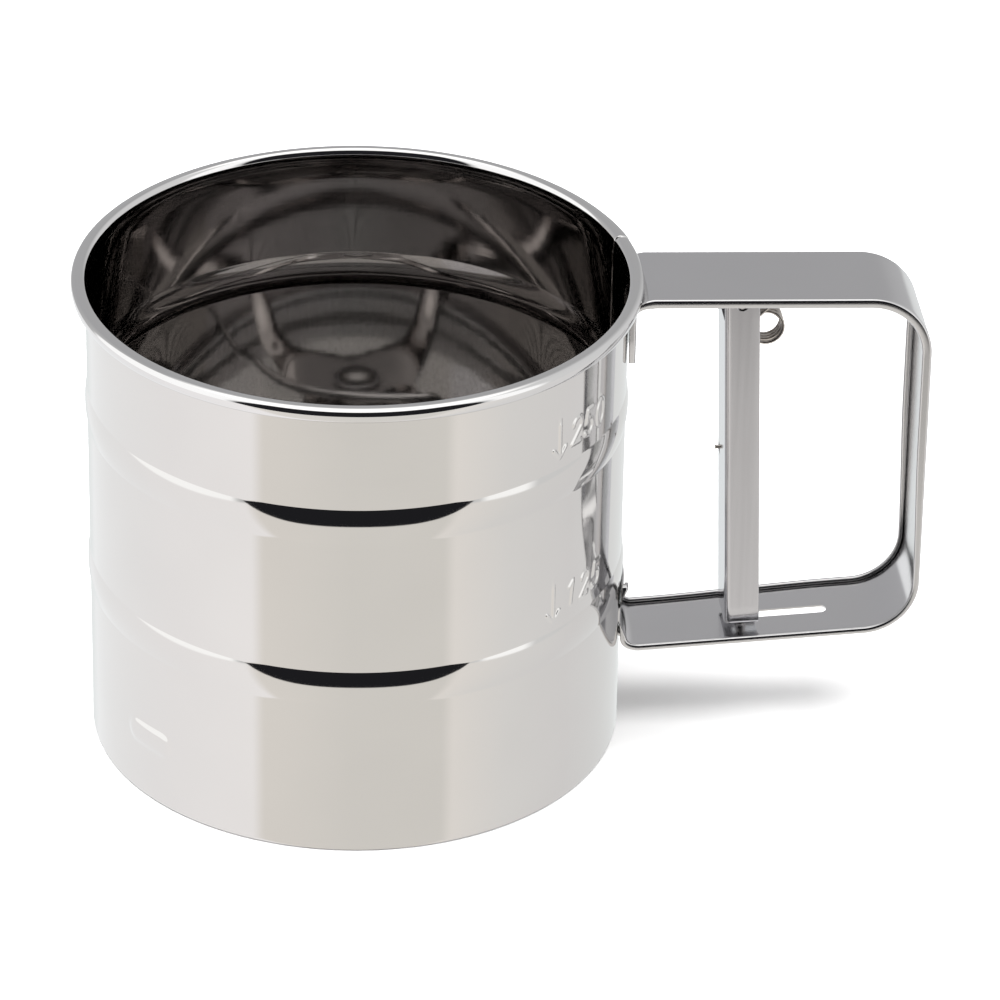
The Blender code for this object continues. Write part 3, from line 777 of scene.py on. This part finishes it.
def agitator_reach(azimuth):
    """How far the blank reaches from the axis in each direction."""
    radii = np.linspace(HUB_R, ARM_END_R, 700)
    reach = np.full(azimuth.shape, HUB_R)
    shapes = [(arm, arm_half(radii), ARM_END_R) for arm in ARM_AZIMUTHS]
    shapes.append((LUG_AZIMUTH, np.full(radii.shape, LUG_HALF), LUG_END_R))
    for centre, half, end in shapes:
        away = np.radians((azimuth - centre + 180) % 360 - 180)[:, None]
        along, across = radii * np.cos(away), np.abs(radii * np.sin(away))
        inside = (across <= half) & (along <= end) & (along > 0)
        reach = np.maximum(reach, np.where(inside, radii, 0).max(axis=1))
    return reach


def agitator_height(x, y):
    """The blank's middle surface: arms that dip beside the hub, rise at the end and arch across."""
    r = np.hypot(x, y)
    height = HUB_Z + 0.35 - ARM_DIP * blend(12.0, 24.0, r) + ARM_RISE * blend(30.0, 45.0, r)
    azimuth = np.degrees(np.arctan2(y, x))
    for arm in ARM_AZIMUTHS:
        away = np.radians((azimuth - arm + 180) % 360 - 180)
        across = np.abs(r * np.sin(away)) / arm_half(r)
        on_arm = (np.abs(away) < math.radians(60)) * blend(6.0, 16.0, r)
        height += on_arm * ARM_ARCH * (1 - np.clip(across, 0, 1) ** 2)
    return height


def build_agitator():
    steps = 1080
    azimuth = np.linspace(-180, 180, steps, endpoint=False)
    reach = agitator_reach(azimuth)
    share = np.linspace(0, 1, 26)
    r = BORE_R + 0.1 + (reach - BORE_R - 0.1)[None, :] * share[:, None]
    turn = np.radians(azimuth)[None, :]
    x, y = r * np.cos(turn), r * np.sin(turn)
    points = np.stack([x, y, agitator_height(x, y)], axis=-1).reshape(-1, 3)
    mesh = to_mesh("agitator_fine", points, grid_faces(len(share), steps, close_columns=True))
    blades = add_object("blades", mesh, BLADE_STEEL, "stirrer", ["agitator"])
    solid = blades.modifiers.new("thickness", "SOLIDIFY")
    solid.thickness = BLADE_SHEET * MM
    solid.offset = 0.0
    half = ROD_R + CRANK_PLAY
    near, far = CRANK_Y - half, math.hypot(CRANK_X, CRANK_Y) + half
    lug = math.radians(LUG_AZIMUTH)
    cos, sin = math.cos(lug), math.sin(lug)
    slot = arc_points(far - half, 0.0, half, -90, 90, 9)
    slot += arc_points(near + half, 0.0, half, 90, 270, 9)
    cut(blades, prism([(a * cos - b * sin, a * sin + b * cos, 12.0) for a, b in slot], (0, 0, 8)))


# ---------------------------------------------------------------- sieve and its stack


def build_sieve():
    """Plain-woven wire cloth: two sets of wires that pass over and under each other."""
    count = int(MESH_R / MESH_PITCH)
    for name, lengthwise in (("cloth_warp", True), ("cloth_weft", False)):
        all_points, all_faces, first = [], [], 0
        for k in range(-count, count + 1):
            offset = k * MESH_PITCH
            half = math.sqrt(max(MESH_R**2 - offset**2, 0.0))
            steps = max(round(2 * half / MESH_PITCH * 4), 2)
            along = np.linspace(-half, half, steps + 1)
            phase = math.pi * along / MESH_PITCH + math.pi * (k % 2) + (0 if lengthwise else math.pi)
            height = MESH_Z + MESH_WIRE_R * np.cos(phase)
            fixed = np.full(along.shape, offset)
            path = np.stack([along, fixed, height] if lengthwise else [fixed, along, height], axis=-1)
            points, faces = tube(path, MESH_WIRE_R, 5, caps=False)
            all_points.append(points)
            all_faces.append(faces + first)
            first += len(points)
        mesh = to_mesh(name, np.concatenate(all_points), np.concatenate(all_faces))
        nodes = ["sieve_mesh"] if lengthwise else ()
        add_object(name, mesh, MESH_STEEL_PAINTED_SHADE, "sifter", nodes)


def build_stack():
    rings = (
        ("ring_low", 45.8, 48.2, 11.0, 11.6, "screen_ring_lower"),
        ("ring_high", 46.6, 49.0, 12.8, 13.5, "screen_ring_upper"),
        ("washer_low", BORE_R, 5.0, 11.0, 11.6, "mesh_washer_lower"),
        ("washer_high", BORE_R, 5.0, 12.8, 13.4, "mesh_washer_upper"),
        ("bush", BORE_R, 3.4, 13.7, 15.7, "spacer_bush"),
        ("washer_head", BORE_R, 4.4, 17.0, 17.5, "head_washer"),
    )
    for name, inner_r, outer_r, low, high, node in rings:
        points, faces = turned(rounded_section(inner_r, outer_r, low, high), 192 if outer_r > 40 else 64)
        add_object(name, to_mesh(name, points, faces), RING_STEEL, "sifter", [node])
    head = [(RIVET_HEAD_R * math.cos(t), 17.85 + 1.45 * math.sin(t)) for t in np.linspace(math.pi / 2, 0, 12)]
    tail = [(RIVET_TAIL_R * math.cos(t), 9.2 - 0.9 * math.sin(t)) for t in np.linspace(0, math.pi / 2, 10)]
    shank = [(RIVET_HEAD_R - 0.1, 17.8), (RIVET_R, 17.8), (RIVET_R, 9.6), (RIVET_TAIL_R - 0.1, 9.6)]
    profile = head + shank + tail
    turns = np.linspace(0, math.tau, 64, endpoint=False)
    loops = [[(r * math.cos(t), r * math.sin(t), z) for t in turns] for r, z in profile]
    points, faces = lofted(loops)
    rivet = to_mesh("rivet", points, faces)
    add_object("rivet", rivet, RIVET_STEEL_PAINTED_SHADE, "sifter", ["centre_rivet"])
    restyle(frame["nodes"]["cross_bar"], RING_STEEL)


# ---------------------------------------------------------------- studio and camera


FLOOR_HALF = 6.0
FLOOR_BELOW = 0.0002
LAMP_SIZE = 3.0
LAMP_HEIGHT = 2.0
LAMP_WATTS = 110.0


def build_studio():
    """A pale floor and a wide soft light over it. Polished pieces reflect the world instead of these."""
    floor = bpy.data.meshes.new("floor")
    corners = [(x * FLOOR_HALF, y * FLOOR_HALF, 0) for x, y in ((-1, -1), (1, -1), (1, 1), (-1, 1))]
    floor.from_pydata(corners, [], [(0, 1, 2, 3)])
    material, tree, shader = new_material("floor_paper", (0.93, 0.93, 0.93), 0.9)
    shader.inputs["Metallic"].default_value = 0.0
    grain = noise(tree, 60.0, (1.0, 1.0, 1.0), 4.0)
    paper = tinted(tree, grain, (0.925, 0.925, 0.925), (0.935, 0.935, 0.935))
    tree.links.new(paper, shader.inputs["Base Color"])
    obj = add_object("floor", floor, material, None)
    obj.location.z = CAD_BOX[0][2] - FLOOR_BELOW
    obj.visible_glossy = False
    lamp = bpy.data.lights.new("soft_light", "AREA")
    lamp.shape = "SQUARE"
    lamp.size = LAMP_SIZE
    lamp.energy = LAMP_WATTS
    light = bpy.data.objects.new("soft_light", lamp)
    bpy.context.scene.collection.objects.link(light)
    light.location = (0.0, 0.0, LAMP_HEIGHT)
    light.visible_glossy = False


def maths(tree, operation, *values):
    """A math node over sockets or plain numbers."""
    node = tree.nodes.new("ShaderNodeMath")
    node.operation = operation
    for socket, value in zip(node.inputs, values):
        if isinstance(value, (int, float)):
            socket.default_value = value
        else:
            tree.links.new(value, socket)
    return node.outputs[0]


def smooth_step(tree, value, low, high):
    node = tree.nodes.new("ShaderNodeMapRange")
    node.interpolation_type = "SMOOTHSTEP"
    node.inputs["From Min"].default_value = low
    node.inputs["From Max"].default_value = high
    tree.links.new(value, node.inputs["Value"])
    return node.outputs["Result"]


def ramp(tree, degrees, stops):
    """Colours by azimuth, from (degrees, (red, green, blue)) stops between -180 and 180."""
    node = tree.nodes.new("ShaderNodeValToRGB")
    elements = node.color_ramp.elements
    for _ in range(len(stops) - 2):
        elements.new(0.5)
    for element, (angle, colour) in zip(elements, stops):
        element.position = (angle + 180) / 360
        element.color = (*colour, 1.0)
    share = maths(tree, "MULTIPLY_ADD", degrees, 1 / 360, 0.5)
    tree.links.new(share, node.inputs["Fac"])
    return node.outputs["Color"]


def mixed(tree, share, first, second):
    """A mix of two colours, each a socket or a plain colour."""
    node = tree.nodes.new("ShaderNodeMix")
    node.data_type = "RGBA"
    tree.links.new(share, node.inputs["Factor"])
    for name, value in (("A", first), ("B", second)):
        if isinstance(value, tuple):
            node.inputs[name].default_value = (*value, 1.0)
        else:
            tree.links.new(value, node.inputs[name])
    return node.outputs["Result"]


# Colours of the studio by azimuth: below eye level, then between there and the top light
LOW_STOPS = (
    (-180, (0.80, 0.785, 0.79)),
    (-139, (0.82, 0.80, 0.80)),
    (-134, (0.685, 0.655, 0.62)),
    (-96, (0.635, 0.615, 0.585)),
    (-56, (0.64, 0.62, 0.59)),
    (-51, (0.74, 0.71, 0.68)),
    (-25, (0.67, 0.66, 0.65)),
    (10, (0.63, 0.62, 0.62)),
    (60, (0.64, 0.65, 0.65)),
    (86, (0.64, 0.665, 0.665)),
    (100, (0.64, 0.665, 0.665)),
    (112, (0.77, 0.78, 0.79)),
    (180, (0.80, 0.785, 0.79)),
)
HIGH_STOPS = (
    (-180, (0.98, 0.98, 0.98)),
    (-145, (0.98, 0.98, 0.98)),
    (-141, (0.50, 0.50, 0.50)),
    (-44, (0.60, 0.60, 0.60)),
    (-40, (0.98, 0.98, 0.98)),
    (-22, (0.98, 0.98, 0.98)),
    (-16, (0.62, 0.62, 0.62)),
    (40, (0.58, 0.58, 0.585)),
    (66, (0.36, 0.36, 0.365)),
    (120, (0.36, 0.36, 0.37)),
    (146, (0.44, 0.44, 0.44)),
    (151, (0.98, 0.98, 0.98)),
    (180, (0.98, 0.98, 0.98)),
)
TOP_COLOUR = (1.2, 1.19, 1.18)
DARK_COLOUR = (0.012, 0.012, 0.014)
WORLD_STRENGTH = 1.33
# Azimuth of the middle of the dark gap, its half width, and how its lower edge climbs to the sides
FRONT = -93.0
DARK_HALF = 47.5
DARK_EDGE = -27.8
DARK_CLIMB = 21.0
DARK_POWER = 4.5
# Elevation where the low colours give way: lowest at one distance from the front, capped elsewhere
SIDE_LOWEST = -19.0
SIDE_HIGHEST = -9.0
SIDE_MIDDLE = 84.0
SIDE_CURVE = 0.0045
TOP_START = 52.0
TOP_FULL = 66.0


def build_world():
    """A studio all round: pale below, a dark gap in front, a soft box on each side and a top light."""
    world = bpy.data.worlds.new("studio")
    bpy.context.scene.world = world
    world.use_nodes = True
    tree = world.node_tree
    coords = tree.nodes.new("ShaderNodeTexCoord")
    split = tree.nodes.new("ShaderNodeSeparateXYZ")
    tree.links.new(coords.outputs["Generated"], split.inputs["Vector"])
    x, y, z = (split.outputs[name] for name in "XYZ")
    azimuth = maths(tree, "DEGREES", maths(tree, "ARCTAN2", y, x))
    elevation = maths(tree, "DEGREES", maths(tree, "ARCSINE", z))
    low = ramp(tree, azimuth, LOW_STOPS)
    high = ramp(tree, azimuth, HIGH_STOPS)
    aside = maths(tree, "ABSOLUTE", maths(tree, "SUBTRACT", azimuth, FRONT))
    aside = maths(tree, "MINIMUM", aside, maths(tree, "SUBTRACT", 360.0, aside))
    shift = maths(tree, "POWER", maths(tree, "SUBTRACT", aside, SIDE_MIDDLE), 2.0)
    side_edge = maths(tree, "MULTIPLY_ADD", shift, SIDE_CURVE, SIDE_LOWEST)
    side_edge = maths(tree, "MINIMUM", side_edge, SIDE_HIGHEST)
    above = maths(tree, "SUBTRACT", elevation, side_edge)
    colour = mixed(tree, smooth_step(tree, above, 0.0, 2.5), low, high)
    share = maths(tree, "POWER", maths(tree, "DIVIDE", aside, DARK_HALF), DARK_POWER)
    edge = maths(tree, "MULTIPLY_ADD", share, DARK_CLIMB, DARK_EDGE)
    gap = smooth_step(tree, maths(tree, "SUBTRACT", elevation, edge), -0.5, 0.9)
    in_front = smooth_step(tree, aside, DARK_HALF + 1.5, DARK_HALF - 1.5)
    colour = mixed(tree, maths(tree, "MULTIPLY", gap, in_front), colour, DARK_COLOUR)
    colour = mixed(tree, smooth_step(tree, elevation, TOP_START, TOP_FULL), colour, TOP_COLOUR)
    background = tree.nodes["Background"]
    tree.links.new(colour, background.inputs["Color"])
    background.inputs["Strength"].default_value = WORLD_STRENGTH


CAMERA_PLACE = (-66.73, -954.29, 598.36)
CAMERA_YAW = 5.614
CAMERA_PITCH = 30.004
CAMERA_ROLL = 1.1166
CAMERA_LENS = 211.96


def build_camera():
    """The view that the object is seen from: high in front, with the handle to the right."""
    yaw, pitch, roll = (math.radians(angle) for angle in (CAMERA_YAW, CAMERA_PITCH, CAMERA_ROLL))
    forward = Vector((math.sin(yaw) * math.cos(pitch), math.cos(yaw) * math.cos(pitch), -math.sin(pitch)))
    right = Vector((math.cos(yaw), -math.sin(yaw), 0.0))
    up = right.cross(forward)
    side = math.cos(roll) * right + math.sin(roll) * up
    top = math.cos(roll) * up - math.sin(roll) * right
    data = bpy.data.cameras.new("camera")
    data.lens = CAMERA_LENS
    data.sensor_width = 36.0
    camera = bpy.data.objects.new("camera", data)
    bpy.context.scene.collection.objects.link(camera)
    matrix = Matrix((side, top, -forward)).transposed().to_4x4()
    matrix.translation = place(CAMERA_PLACE)
    camera.matrix_world = matrix
    bpy.context.scene.camera = camera


build_cup()
build_strap()
build_bracket()
build_lever()
build_spring()
build_rod()
build_agitator()
build_sieve()
build_stack()
build_studio()
build_world()
build_camera()
bpy.context.scene.view_settings.view_transform = "Standard"
